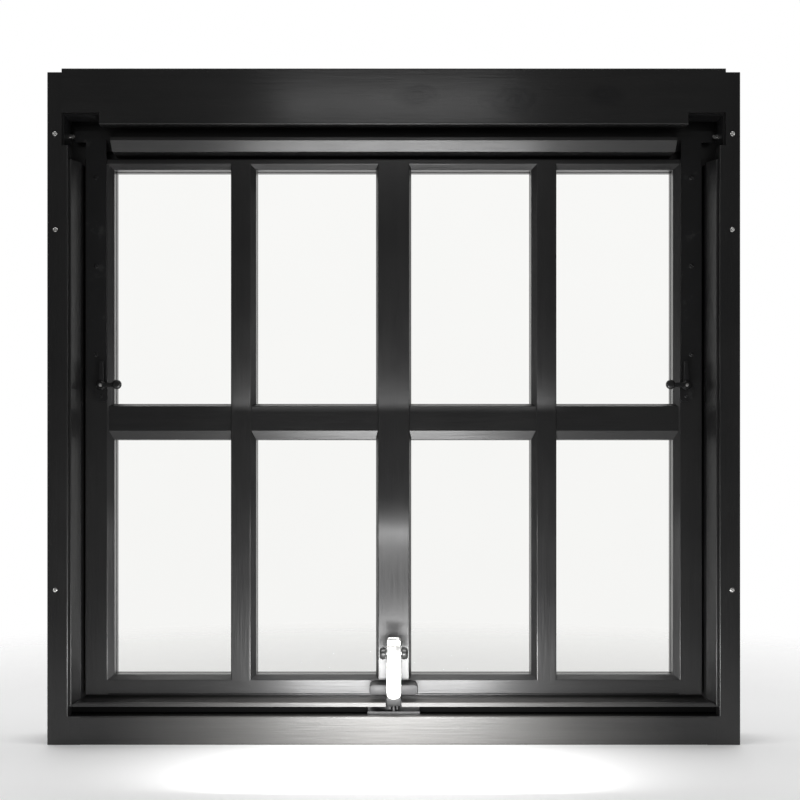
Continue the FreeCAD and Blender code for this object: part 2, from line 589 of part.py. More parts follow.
def crank():
    half = CRANK_HALF
    foot = CRANK_Z - half
    cap_z = CRANK_TOP - CAP_H
    axle = (0, CRANK_Z)
    arm = prism([(-half, foot), (half, foot), (half - CRANK_TAPER, cap_z),
                 (CRANK_TAPER - half, cap_z)], "Y", CRANK_Y, eased=(0, 1), radius=8.0)
    grip = (sum(CRANK_Y) / 2, GRIP_Z)
    arm = arm.cut(rod(GRIP_PIN_R + RUNNING, grip, "X", (-2 * half, 2 * half)))
    arm = arm.fuse(rod(BOSS_R, axle, "Y", (CRANK_Y[1], HOUSING_Y[0] - 1)))
    arm = arm.cut(rod(SPINDLE_R, axle, "Y", (CRANK_Y[1], HOUSING_Y[0] + 6)))
    rivet_end = CRANK_Y[0] + RIVET_DEPTH
    arm = arm.cut(rod(RIVET_R, (0, RIVET_Z), "Y", (CRANK_Y[0], rivet_end)))
    save("crank_arm", arm)
    save("crank_rivet", rod(RIVET_R, (0, RIVET_Z), "Y", (CRANK_Y[0] - RIVET_PROUD, rivet_end)))
    side = half - 1
    save("crank_cap", prism([(-side, cap_z), (side, cap_z), (side, CRANK_TOP),
                             (-side, CRANK_TOP)], "Y",
                            (CRANK_Y[0] - CAP_PROUD, CRANK_Y[1] + CAP_PROUD),
                            eased=(2, 3), radius=4.0))
    pin_end = GRIP_HALF - GRIP_PIN_INSET
    save("grip_pin", rod(GRIP_PIN_R, grip, "X", (-pin_end, pin_end)))
    lobe = rod(GRIP_R, grip, "X", (half + FIT, GRIP_HALF))
    lobe = lobe.makeFillet(2.5, [edge for edge in lobe.Edges if edge.Length > 40])
    lobe = lobe.cut(rod(GRIP_PIN_R, grip, "X", (half, pin_end)))
    save("grip_knobs", lobe, mirrored(lobe))


def main():
    os.makedirs("parts", exist_ok=True)
    casing()
    liner()
    stops()
    seal()
    sash()
    glazing()
    screws = hinges() + locks()
    save("sash_screws", *screws)
    operator()
    crank()


main()
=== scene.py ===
"""Looks for a black-painted, top-hung timber window with a crank at its sill."""
import math

import bmesh
import bpy
from bpy.props import FloatProperty, FloatVectorProperty, PointerProperty
from mathutils import Matrix, Vector


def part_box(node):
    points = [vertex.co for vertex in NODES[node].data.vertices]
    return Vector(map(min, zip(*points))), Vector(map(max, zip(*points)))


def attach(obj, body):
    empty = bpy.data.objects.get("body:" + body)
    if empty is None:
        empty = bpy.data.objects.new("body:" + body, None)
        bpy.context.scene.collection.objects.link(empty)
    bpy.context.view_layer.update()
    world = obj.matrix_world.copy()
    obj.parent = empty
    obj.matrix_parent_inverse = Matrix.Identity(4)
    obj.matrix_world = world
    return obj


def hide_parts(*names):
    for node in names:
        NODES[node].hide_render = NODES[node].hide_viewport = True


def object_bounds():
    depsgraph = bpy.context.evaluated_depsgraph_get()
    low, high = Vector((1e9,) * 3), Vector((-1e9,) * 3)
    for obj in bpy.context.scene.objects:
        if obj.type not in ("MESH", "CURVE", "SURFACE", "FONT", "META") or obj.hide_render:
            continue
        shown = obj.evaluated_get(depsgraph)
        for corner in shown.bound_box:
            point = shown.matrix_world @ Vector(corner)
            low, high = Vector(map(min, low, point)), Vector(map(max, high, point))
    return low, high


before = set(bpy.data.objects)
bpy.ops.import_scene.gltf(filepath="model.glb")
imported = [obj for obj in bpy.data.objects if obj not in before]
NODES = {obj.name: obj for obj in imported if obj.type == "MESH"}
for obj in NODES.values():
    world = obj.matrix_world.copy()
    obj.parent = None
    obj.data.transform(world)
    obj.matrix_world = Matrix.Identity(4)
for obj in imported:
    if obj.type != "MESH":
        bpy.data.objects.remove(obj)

bl_info = {
    "name": "Crank window looks",
    "version": (1, 0, 0),
    "blender": (4, 5, 0),
    "location": "3D View > Sidebar > Window",
    "description": "Paint, metal, glass and fittings of a small timber crank window",
    "category": "Object",
}

CAD_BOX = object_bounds()
LOW = CAD_BOX[0]
MM = 0.001
FLOOR_REACH = 1.6

# Screw places on the right-hand side, as (x, z)
CASING_SCREWS = [(0.488, 0.743), (0.488, 0.2235), (0.4885, 0.881)]
STRAP_SCREWS = [(0.437, 0.566), (0.437, 0.696), (0.437, 0.826)]
LOCK_SCREW = (0.429, 0.505)

# Sizes of the fittings, as the CAD has them
CRANK_THICK = 8 * MM
CRANK_CORNER = 9 * MM
BOSS_RADIUS = 7.5 * MM
BOSS_LENGTH = 12.7 * MM
CAP_CORNER = 4 * MM
GRIP_GAP = 11.1 * MM
GRIP_PIN_RADIUS = 2.5 * MM
COVER_HEIGHT = 15.5 * MM
COVER_CORNER = 5 * MM
NECK_HALF = 10.8 * MM
NECK_SETBACK = 6 * MM
HUB_RADIUS = 7 * MM
DOME_HEIGHT = 4 * MM
SPUR_THICK = 3.6 * MM
SPUR_HALF = 4.2 * MM
HANDLE_HALF = 3.4 * MM
POST_RADIUS = 3 * MM
POST_CLEARANCE = 0.2 * MM

# Stage
LENS = 59.3
LENS_SHIFT = (0.0113, 0.1)
CAMERA_X = -0.004
LAMP_WIDTH = 0.04
SUN_SPREAD = 50
SUN_TILT = -8


# ---- shader maths ------------------------------------------------------------------
class Value:
    """A shader socket that can be added, multiplied and subtracted."""

    def __init__(self, shader, socket):
        self.shader = shader
        self.socket = socket

    def math(self, operation, first, second=0.0):
        return self.shader.node("ShaderNodeMath", {"operation": operation}, {0: first, 1: second})

    def __add__(self, other):
        return self.math("ADD", self, other)

    def __sub__(self, other):
        return self.math("SUBTRACT", self, other)

    def __rsub__(self, other):
        return self.math("SUBTRACT", other, self)

    def __mul__(self, other):
        return self.math("MULTIPLY", self, other)

    def at_most(self, other):
        return self.math("MINIMUM", self, other)

    def at_least(self, other):
        return self.math("MAXIMUM", self, other)

    def sine(self):
        return self.math("SINE", self)


class Shader:
    """A node tree that is filled through one method."""

    def __init__(self, tree):
        self.tree = tree
        tree.nodes.clear()

    def node(self, kind, settings=None, inputs=None, out=0):
        made = self.tree.nodes.new(kind)
        for key, value in (settings or {}).items():
            setattr(made, key, value)
        for key, value in (inputs or {}).items():
            if isinstance(value, Value):
                self.tree.links.new(value.socket, made.inputs[key])
            else:
                made.inputs[key].default_value = value
        if not made.outputs:
            return made
        return Value(self, made.outputs[out])


def grey(value):
    return (value, value, value, 1.0)


def surface(name, build):
    """A material whose shader socket is what build returns."""
    made = bpy.data.materials.new(name)
    made.use_nodes = True
    shader = Shader(made.node_tree)
    result = build(shader)
    shader.node("ShaderNodeOutputMaterial", inputs={"Surface": result})
    return made


def noise(shader, vector, scale, detail=4.0, roughness=0.55, stretch=(1.0, 1.0, 1.0)):
    placed = shader.node("ShaderNodeMapping", inputs={"Vector": vector, "Scale": stretch})
    return shader.node("ShaderNodeTexNoise", inputs={
        "Vector": placed, "Scale": scale, "Detail": detail, "Roughness": roughness})


def mixed(shader, factor, first, second):
    """A colour between two colours."""
    return shader.node("ShaderNodeMix", {"data_type": "RGBA"}, {0: factor, 6: first, 7: second},
                       out=2)


def principled(shader, **inputs):
    names = {key.replace("_", " "): value for key, value in inputs.items()}
    return shader.node("ShaderNodeBsdfPrincipled", inputs=names)


def bumped(shader, height, distance, strength=1.0):
    return shader.node("ShaderNodeBump", inputs={
        "Height": height, "Distance": distance, "Strength": strength})


# ---- finishes ----------------------------------------------------------------------
GRAIN = {"X": (0.045, 1.0, 1.0), "Z": (1.0, 1.0, 0.045)}


def knot_field(shader, place, knots):
    """Rings and a soft hollow round each knot, as (rings, mask)."""
    rings = None
    mask = None
    wander = noise(shader, place, 45.0, 3.0, 0.6, (0.5, 1.0, 1.0))
    for x, z, radius in knots:
        flat = shader.node("ShaderNodeMapping", {"vector_type": "POINT"}, {
            "Vector": place, "Location": (-x * 0.55, 0.0, -z), "Scale": (0.55, 0.0, 1.0)})
        away = shader.node("ShaderNodeVectorMath", {"operation": "LENGTH"}, {0: flat}, out=1)
        away = away + (wander - 0.5) * (radius * 0.9)
        near = (1.0 - away * (1.0 / radius)).at_least(0.0)
        ring = (away * (13.0 / radius)).sine() * near
        rings = ring if rings is None else rings + ring
        mask = near if mask is None else mask + near
    return rings, mask


def black_paint(name, axis, colours, knots=(), highlight_reach=0.0):
    """Brushed black paint over softwood. Where highlight_reach is given, a painted highlight
    lightens the paint round X = 0 out to that distance.
    """
    def build(shader):
        place = shader.node("ShaderNodeTexCoord", out="Object")
        grain = noise(shader, place, 70.0, 6.0, 0.62, GRAIN[axis])
        pores = noise(shader, place, 420.0, 2.0, 0.5, GRAIN[axis])
        patches = noise(shader, place, 7.0, 3.0, 0.5)
        specks = noise(shader, place, 260.0, 1.0, 0.4)
        height = grain * 0.75 + pores * 0.28 + specks * 0.06
        tone = (grain * 0.55 + patches * 0.65 - 0.25).at_least(0.0)
        rough = (patches * 0.2 + pores * 0.16 + colours.paint_roughness - 0.16).at_least(0.08)
        if knots:
            rings, mask = knot_field(shader, place, knots)
            height = height + rings * 0.35 - mask * 0.5
            tone = (tone - mask * 0.8).at_least(0.0)
            rough = rough + mask * 0.08
        dark = list(colours.paint_dark) + [1.0]
        light = list(colours.paint_light) + [1.0]
        colour = mixed(shader, tone.at_most(1.0), dark, light)
        # Painted highlight: the paint turns a lighter grey round X = 0 and fades out to
        # highlight_reach, standing in for the lamp's highlight at the sill's centre.
        if highlight_reach:
            across = shader.node("ShaderNodeSeparateXYZ", inputs={0: place}, out="X")
            across = shader.node("ShaderNodeMath", {"operation": "ABSOLUTE"}, {0: across})
            lighter_paint = (1.0 - across * (1.0 / highlight_reach)).at_least(0.0) * (grain * 0.6 + 0.7)
            colour = mixed(shader, lighter_paint.at_most(1.0), colour,
                           list(colours.paint_highlight) + [1.0])
        return principled(
            shader, Base_Color=colour, Roughness=rough,
            Normal=bumped(shader, height, 0.0011, 0.55), Coat_Weight=0.35, Coat_Roughness=0.22)
    return surface(name, build)


def matt_primer(name):
    """Near-black matt finish on the frame sill: painted shade, so the deep joint above the sill
    board reads dark.
    """
    def build(shader):
        place = shader.node("ShaderNodeTexCoord", out="Object")
        dust = noise(shader, place, 45.0, 4.0, 0.6, GRAIN["X"])
        return principled(shader, Base_Color=mixed(shader, dust, grey(0.0008), grey(0.004)),
                          Roughness=dust * 0.15 + 0.8, Specular_IOR_Level=0.12,
                          Normal=bumped(shader, dust, 0.0006, 0.4))
    return surface(name, build)


def black_lacquer(name, colours):
    """Lacquered steel with a slight orange peel."""
    def build(shader):
        place = shader.node("ShaderNodeTexCoord", out="Object")
        peel = noise(shader, place, 320.0, 2.0)
        rub = noise(shader, place, 38.0, 4.0, 0.65)
        worn = ((rub - 0.62) * 6.0).at_least(0.0).at_most(1.0)
        colour = mixed(shader, worn, list(colours.lacquer) + [1.0], grey(0.035))
        return principled(shader, Base_Color=colour, Roughness=rub * 0.3 + 0.28,
                          Normal=bumped(shader, peel, 0.0003, 0.35))
    return surface(name, build)


def bright_metal(name, colours, stretch):
    """Nickel plate with fine polishing lines and dull patches."""
    def build(shader):
        place = shader.node("ShaderNodeTexCoord", out="Object")
        lines = noise(shader, place, 900.0, 2.0, 0.5, stretch)
        patches = noise(shader, place, 90.0, 4.0, 0.6)
        dull = ((patches - 0.5) * 3.0).at_least(0.0).at_most(1.0)
        bright = list(colours.nickel) + [1.0]
        return principled(shader, Base_Color=mixed(shader, dull, bright, (0.34, 0.33, 0.31, 1.0)),
                          Metallic=1.0, Roughness=dull * 0.22 + lines * 0.16 + 0.12,
                          Normal=bumped(shader, lines, 0.00008, 0.4))
    return surface(name, build)


def moulded_black(name):
    """Moulded plastic, polished by hands."""
    def build(shader):
        place = shader.node("ShaderNodeTexCoord", out="Object")
        peel = noise(shader, place, 650.0, 2.0)
        rub = noise(shader, place, 120.0, 3.0)
        return principled(shader, Base_Color=mixed(shader, rub, grey(0.006), grey(0.018)),
                          Roughness=rub * 0.25 + 0.2, Normal=bumped(shader, peel, 0.0001, 0.3))
    return surface(name, build)


def dull_rubber(name):
    def build(shader):
        place = shader.node("ShaderNodeTexCoord", out="Object")
        bloom = noise(shader, place, 60.0, 5.0)
        return principled(shader, Base_Color=mixed(shader, bloom, grey(0.008), grey(0.03)),
                          Roughness=bloom * 0.2 + 0.65, Normal=bumped(shader, bloom, 0.0004, 0.4))
    return surface(name, build)


def window_glass(name, colours):
    """Clear drawn glass with a warm film of dust that thickens towards the sill."""
    def build(shader):
        place = shader.node("ShaderNodeTexCoord", out="Object")
        film = noise(shader, place, 5.0, 4.0, 0.6)
        height = shader.node("ShaderNodeSeparateXYZ", inputs={0: place}, out="Z")
        dust = (film * 0.5 + (0.62 - height) * 0.9).at_least(0.0).at_most(1.0)
        ripple = noise(shader, place, 9.0, 1.0, 0.4, (1.0, 0.2, 0.35))
        clean = list(colours.glass_tint) + [1.0]
        tint = mixed(shader, dust, clean, list(colours.glass_dust) + [1.0])
        return principled(shader, Base_Color=tint, Roughness=film * 0.02,
                          Transmission_Weight=1.0, IOR=1.01, Specular_IOR_Level=0.5,
                          Normal=bumped(shader, ripple, 0.0004, 0.1))
    return surface(name, build)


def pale_floor(name, colours, reach):
    """A pale floor that fades into the sky between half its reach and its edge."""
    def build(shader):
        place = shader.node("ShaderNodeTexCoord", out="Object")
        cloud = noise(shader, place, 1.4, 4.0)
        colour = mixed(shader, cloud, list(colours.floor) + [1.0], grey(0.96))
        ground = principled(shader, Base_Color=colour, Roughness=cloud * 0.1 + 0.6)
        away = shader.node("ShaderNodeVectorMath", {"operation": "LENGTH"}, {0: place}, out=1)
        fade = (away * (2.0 / reach) - 1.0).at_least(0.0).at_most(1.0)
        clear = shader.node("ShaderNodeBsdfTransparent")
        return shader.node("ShaderNodeMixShader", inputs={0: fade, 1: ground, 2: clear})
    return surface(name, build)


# ---- mesh helpers ------------------------------------------------------------------
def finished_piece(name, mesh, body, material, replaced=()):
    """Turn a bmesh into a piece that rides on a body."""
    bmesh.ops.remove_doubles(mesh, verts=mesh.verts, dist=1e-6)
    bmesh.ops.recalc_face_normals(mesh, faces=mesh.faces)
    data = bpy.data.meshes.new(name)
    mesh.to_mesh(data)
    mesh.free()
    for face in data.polygons:
        face.use_smooth = True
    piece = bpy.data.objects.new(name, data)
    bpy.context.scene.collection.objects.link(piece)
    data.set_sharp_from_angle(angle=math.radians(35))
    data.materials.append(material)
    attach(piece, body)
    if replaced:
        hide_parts(*replaced)
    return piece


def bevel_all(mesh, offset, segments, edges=None):
    bmesh.ops.bevel(mesh, geom=list(edges or mesh.edges), offset=offset, affect="EDGES",
                    segments=segments, profile=0.5, material=-1)


def add_box(mesh, low, high):
    """A box between two corners; returns its vertices."""
    low, high = Vector(low), Vector(high)
    made = bmesh.ops.create_cube(mesh, size=1.0)["verts"]
    bmesh.ops.scale(mesh, verts=made, vec=high - low)
    bmesh.ops.translate(mesh, verts=made, vec=(low + high) / 2)
    return made


def spun(outline, centre, axis, steps=32):
    """A new bmesh that holds one turned shape."""
    mesh = bmesh.new()
    verts = [mesh.verts.new((radius, 0.0, height)) for radius, height in outline]
    edges = [mesh.edges.new(pair) for pair in zip(verts, verts[1:])]
    bmesh.ops.spin(mesh, geom=verts + edges, cent=(0, 0, 0), axis=(0, 0, 1), angle=math.tau,
                   steps=steps, use_merge=True)
    bmesh.ops.remove_doubles(mesh, verts=mesh.verts, dist=1e-7)
    turn = Vector((0, 0, 1)).rotation_difference(Vector(axis)).to_matrix().to_4x4()
    bmesh.ops.transform(mesh, matrix=Matrix.Translation(Vector(centre)) @ turn, verts=mesh.verts)
    return mesh


def join_into(mesh, other):
    """Copy one bmesh into another and free it."""
    data = bpy.data.meshes.new("loose")
    other.to_mesh(data)
    other.free()
    mesh.from_mesh(data)
    bpy.data.meshes.remove(data)


# ---- properties --------------------------------------------------------------------
def colour_property(name, description, default):
    return FloatVectorProperty(name=name, description=description, subtype="COLOR", size=3,
                               min=0.0, max=1.0, default=default)


class FinishSettings(bpy.types.PropertyGroup):
    paint_dark: colour_property("Paint, low", "Black paint in the grain", (0.0035, 0.0035, 0.004))
    paint_light: colour_property("Paint, high", "Black paint where it is rubbed",
                                 (0.021, 0.0205, 0.02))
    # Lighter grey of the painted highlight at the centre of the sill.
    paint_highlight: colour_property("Paint, worn", "Thin grey paint on the sill",
                                (0.12, 0.117, 0.112))
    paint_roughness: FloatProperty(name="Paint roughness", description="Satin to matt",
                                   default=0.34, min=0.05, max=0.9)
    lacquer: colour_property("Lacquer", "Lacquered steel", (0.0045, 0.0045, 0.005))
    nickel: colour_property("Nickel", "Plated steel", (0.8, 0.795, 0.78))
    glass_tint: colour_property("Glass", "Clear glass", (0.94, 0.94, 0.925))
    glass_dust: colour_property("Glass, dusty", "Glass with a film of dust", (0.9, 0.9, 0.885))
    floor: colour_property("Floor", "Pale floor", (0.93, 0.93, 0.93))


class FittingSettings(bpy.types.PropertyGroup):
    edge: FloatProperty(name="Metal edge", description="Rounding of the metal's edges",
                        default=1.2 * MM, min=0.1 * MM, max=3 * MM, unit="LENGTH")
    screw_head: FloatProperty(name="Screw head", description="Radius of a screw head",
                              default=3.4 * MM, min=1 * MM, max=6 * MM, unit="LENGTH")


class StageSettings(bpy.types.PropertyGroup):
    camera_distance: FloatProperty(name="Camera distance", unit="LENGTH", default=1.9,
                                   description="From the casing's face to the camera")
    camera_height: FloatProperty(name="Camera height", unit="LENGTH", default=0.382,
                                 description="Height of the camera above the floor")
    low_light: FloatProperty(name="Low light", description="Watts of the low front light",
                             default=3.1, min=0.0)
    upper_light: FloatProperty(name="Upper light", description="Watts of the light on the head",
                               default=0.7, min=0.0)
    header_light: FloatProperty(name="Header light", description="Watts of the header light",
                                default=0.22, min=0.0)
    crank_light: FloatProperty(name="Crank light", description="Watts of the light on the sill",
                               default=0.9, min=0.0)
    sky_front: FloatProperty(name="Room side", description="Brightness of the room side",
                             default=0.15, min=0.0)
    sky_back: FloatProperty(name="Weather side", description="Brightness of the weather side",
                            default=1.0, min=0.0)
    overhead: FloatProperty(name="Overhead", description="Strength of the overhead light",
                            default=0.9, min=0.0)


def settings():
    return bpy.context.scene.window_looks


class WindowLooks(bpy.types.PropertyGroup):
    finish: PointerProperty(type=FinishSettings)
    fittings: PointerProperty(type=FittingSettings)
    stage: PointerProperty(type=StageSettings)


def finish_named(name):
    """A finish that an operator has already made."""
    return bpy.data.materials[name]


def give(material, *names):
    """Put one material on CAD nodes."""
    for name in names:
        data = NODES[name].data
        data.materials.clear()
        data.materials.append(material)


# ---- operators ---------------------------------------------------------------------
ALONG_X = ["frame_head", "stop_head", "head_web", "top_rail", "bottom_rail", "middle_rail_1",
           "middle_rail_2", "middle_rail_3", "middle_rail_4"]
ALONG_Z = ["jamb_board_left", "jamb_board_right", "frame_jamb_left", "frame_jamb_right",
           "stop_side_left", "stop_side_right", "stile_left", "stile_right", "centre_mullion",
           "glazing_bar_left", "glazing_bar_right", "glazing_beads"]
# Half width of the painted highlight round X = 0 on the sill board and sill stop.
SILL_HIGHLIGHT_REACH = 0.42
HEADER_KNOTS = [(0.035, 0.936, 0.020), (0.168, 0.930, 0.026), (0.306, 0.938, 0.018)]


class WINDOW_OT_paint(bpy.types.Operator):
    """Paint every timber member, with the grain along its length"""
    bl_idname = "window.paint"
    bl_label = "Painted timber"

    def execute(self, context):
        colours = settings().finish
        give(black_paint("black_paint_across", "X", colours), *ALONG_X)
        give(black_paint("black_paint_upright", "Z", colours), *ALONG_Z)
        give(black_paint("black_paint_header", "X", colours, HEADER_KNOTS), "header_board")
        # Sill board and sill stop carry a painted highlight, a lighter grey round X = 0.
        give(black_paint("black_paint_sill", "X", colours, highlight_reach=SILL_HIGHLIGHT_REACH), "sill_board",
             "stop_sill")
        # Painted shade: the whole frame sill gets a near-black matt finish so the joint above the
        # sill board stays dark.
        give(matt_primer("matt_primer"), "frame_sill")
        return {"FINISHED"}


class WINDOW_OT_metal(bpy.types.Operator):
    """Lacquered and plated steel, plastic, rubber and glass"""
    bl_idname = "window.metal"
    bl_label = "Metal, rubber and glass"

    def execute(self, context):
        colours = settings().finish
        give(black_lacquer("black_lacquer", colours), "hinge_strap_left", "hinge_strap_right",
             "hinge_brackets", "lock_base_left", "lock_base_right", "operator_case",
             "operator_arm", "sector_gear", "sash_track", "lock_keepers", "drive_shaft")
        give(bright_metal("nickel_upright", colours, (1.0, 1.0, 0.05)), "crank_spindle",
             "grip_pin", "hinge_pins", "crank_rivet")
        moulded = moulded_black("moulded_black")
        give(moulded, "arm_roller")
        give(dull_rubber("dull_rubber"), "frame_seal")
        glass = window_glass("window_glass", colours)
        give(glass, *[name for name in NODES if name.startswith("pane_")])
        return {"FINISHED"}


class WINDOW_OT_crank(bpy.types.Operator):
    """The bright crank arm with its cap and boss"""
    bl_idname = "window.crank"
    bl_label = "Crank"

    def execute(self, context):
        edge = settings().fittings.edge
        nickel = finish_named("nickel_upright")
        low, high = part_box("crank_arm")
        low, high = Vector(low), Vector(high)
        face = low.y
        back = face + CRANK_THICK
        mesh = bmesh.new()
        add_box(mesh, (low.x, face, low.z), (high.x, back, high.z))
        upright = [e for e in mesh.edges if abs((e.verts[0].co - e.verts[1].co).y) > 4 * MM
                   and e.verts[0].co.z < low.z + MM]
        bevel_all(mesh, CRANK_CORNER, 10, upright)
        outline = [e for e in mesh.edges if e.calc_face_angle(0) > math.radians(50)
                   and abs((e.verts[0].co - e.verts[1].co).y) < MM]
        bevel_all(mesh, edge, 3, outline)
        middle = (low.x + high.x) / 2
        axle = low.z + (high.x - low.x) / 2
        ease = 0.7 * MM
        boss = spun([(0.0, 0.0), (BOSS_RADIUS, 0.0), (BOSS_RADIUS, BOSS_LENGTH - ease),
                     (BOSS_RADIUS - ease, BOSS_LENGTH), (0.0, BOSS_LENGTH)],
                    (middle, back - MM, axle), (0, 1, 0))
        join_into(mesh, boss)
        screw = spun([(0.0, 0.0), (5.6 * MM, 0.0), (5.6 * MM, 0.6 * MM), (4.4 * MM, 1.5 * MM),
                      (0.0, 1.6 * MM)], (middle, face + 0.1 * MM, axle), (0, -1, 0))
        join_into(mesh, screw)
        finished_piece("crank_arm_cast", mesh, "crank", nickel, ["crank_arm"])
        self.cap(nickel, edge)
        return {"FINISHED"}

    def cap(self, nickel, edge):
        low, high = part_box("crank_cap")
        mesh = bmesh.new()
        add_box(mesh, low, high)
        top = high[2] - MM / 10
        corners = [e for e in mesh.edges if abs((e.verts[0].co - e.verts[1].co).y) > 4 * MM
                   and e.verts[0].co.z > top]
        bevel_all(mesh, CAP_CORNER, 6, corners)
        rim = [e for e in mesh.edges if e.calc_face_angle(0) > math.radians(50)]
        bevel_all(mesh, edge, 3, rim)
        finished_piece("crank_end_cap", mesh, "crank", nickel, ["crank_cap"])


class WINDOW_OT_grip(bpy.types.Operator):
    """The two dark knobs of the cross grip"""
    bl_idname = "window.grip"
    bl_label = "Cross grip"

    def execute(self, context):
        low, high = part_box("grip_knobs")
        low, high = Vector(low), Vector(high)
        centre = (low + high) / 2
        radius = (high.z - low.z) / 2
        length = high.x - GRIP_GAP
        mesh = bmesh.new()
        outline = [(GRIP_PIN_RADIUS, 0.0), (radius * 0.8, 0.0), (radius * 0.97, length * 0.16),
                   (radius, length * 0.42), (radius * 0.95, length * 0.72),
                   (radius * 0.78, length * 0.93), (radius * 0.5, length), (0.0, length)]
        for side in (-1, 1):
            join_into(mesh, spun(outline, (side * GRIP_GAP, centre.y, centre.z), (side, 0, 0)))
        finished_piece("cross_grip_knobs", mesh, "grip",
                       moulded_black("grip_black"), ["grip_knobs"])
        return {"FINISHED"}


class WINDOW_OT_housing(bpy.types.Operator):
    """The operator's lacquered cover on the sill stop"""
    bl_idname = "window.housing"
    bl_label = "Operator cover"

    def execute(self, context):
        edge = settings().fittings.edge
        low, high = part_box("operator_housing")
        low, high = Vector(low), Vector(high)
        base = high.z - COVER_HEIGHT
        mesh = bmesh.new()
        add_box(mesh, (low.x, low.y, base), high)
        corners = [e for e in mesh.edges if abs((e.verts[0].co - e.verts[1].co).y) > 4 * MM]
        bevel_all(mesh, COVER_CORNER, 6, corners)
        rim = [e for e in mesh.edges if e.calc_face_angle(0) > math.radians(50)]
        bevel_all(mesh, edge, 3, rim)
        neck = bmesh.new()
        add_box(neck, (-NECK_HALF, low.y + NECK_SETBACK, low.z),
                (NECK_HALF, high.y - MM, base + MM))
        bevel_all(neck, edge, 2)
        join_into(mesh, neck)
        finished_piece("operator_cover", mesh, "frame",
                       finish_named("black_lacquer"), ["operator_housing"])
        return {"FINISHED"}


class WINDOW_OT_locks(bpy.types.Operator):
    """Lacquered lock levers with plated hub caps and dark knobs"""
    bl_idname = "window.locks"
    bl_label = "Side locks"

    def execute(self, context):
        for side in ("left", "right"):
            self.lever(side, finish_named("black_lacquer"), finish_named("nickel_upright"))
            self.knob(side, finish_named("grip_black"))
        return {"FINISHED"}

    def lever(self, side, lacquer, nickel):
        low, high = (Vector(corner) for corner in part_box("lock_lever_" + side))
        sign = -1 if side == "left" else 1
        hub_x = (low.x + HUB_RADIUS) if side == "left" else (high.x - HUB_RADIUS)
        hub_z = low.z + HUB_RADIUS
        spur = (low.y + DOME_HEIGHT, low.y + DOME_HEIGHT + SPUR_THICK)
        outline = [(0.0, 0.0), (HUB_RADIUS * 0.99, 0.0), (HUB_RADIUS, 0.5 * MM),
                   (HUB_RADIUS, 3.1 * MM), (HUB_RADIUS * 0.94, 4.2 * MM),
                   (HUB_RADIUS * 0.72, 6.6 * MM), (0.0, 7.0 * MM)]
        mesh = spun(outline, (hub_x, spur[1], hub_z), (0, -1, 0))
        blade = bmesh.new()
        verts = add_box(blade, (hub_x - SPUR_HALF, spur[0], hub_z),
                        (hub_x + SPUR_HALF, spur[1], high.z))
        for vert in verts:
            if vert.co.z > hub_z + MM:
                vert.co.x = hub_x + (vert.co.x - hub_x) * 0.78
        bevel_all(blade, 0.9 * MM, 3)
        join_into(mesh, blade)
        inner = high.x if side == "left" else low.x
        handle = bmesh.new()
        ends = sorted((hub_x - sign * MM, inner))
        add_box(handle, (ends[0], low.y + MM, hub_z - HANDLE_HALF),
                (ends[1], low.y + 5 * MM, hub_z + HANDLE_HALF))
        bevel_all(handle, MM, 3)
        join_into(mesh, handle)
        start = spur[1] - 0.5 * MM
        length = high.y - start - POST_CLEARANCE
        post = spun([(0.0, 0.0), (POST_RADIUS, 0.0), (POST_RADIUS, length), (0.0, length)],
                    (hub_x, start, hub_z), (0, 1, 0), 20)
        join_into(mesh, post)
        finished_piece("lock_lever_cast_" + side, mesh, "lock_" + side, lacquer,
                       ["lock_lever_" + side])
        cap = spun([(0.0, 0.0), (2.6 * MM, 0.0), (2.2 * MM, 0.7 * MM), (1.2 * MM, 1.1 * MM),
                    (0.0, 1.2 * MM)], (hub_x, spur[1] - 6.4 * MM, hub_z), (0, -1, 0), 20)
        finished_piece("lock_hub_cap_" + side, cap, "lock_" + side, nickel)

    def knob(self, side, dark):
        low, high = (Vector(corner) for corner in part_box("lock_knob_" + side))
        centre = (low + high) / 2
        radius = (high.x - low.x) / 2
        length = high.y - low.y
        outline = [(0.0, 0.0), (radius * 0.62, 0.0), (radius * 0.6, length * 0.14),
                   (radius * 0.84, length * 0.34), (radius * 0.99, length * 0.56),
                   (radius * 0.96, length * 0.78), (radius * 0.72, length * 0.94),
                   (radius * 0.35, length), (0.0, length)]
        mesh = spun(outline, (centre.x, high.y, centre.z), (0, -1, 0))
        finished_piece("lock_knob_turned_" + side, mesh, "lock_" + side, dark,
                       ["lock_knob_" + side])


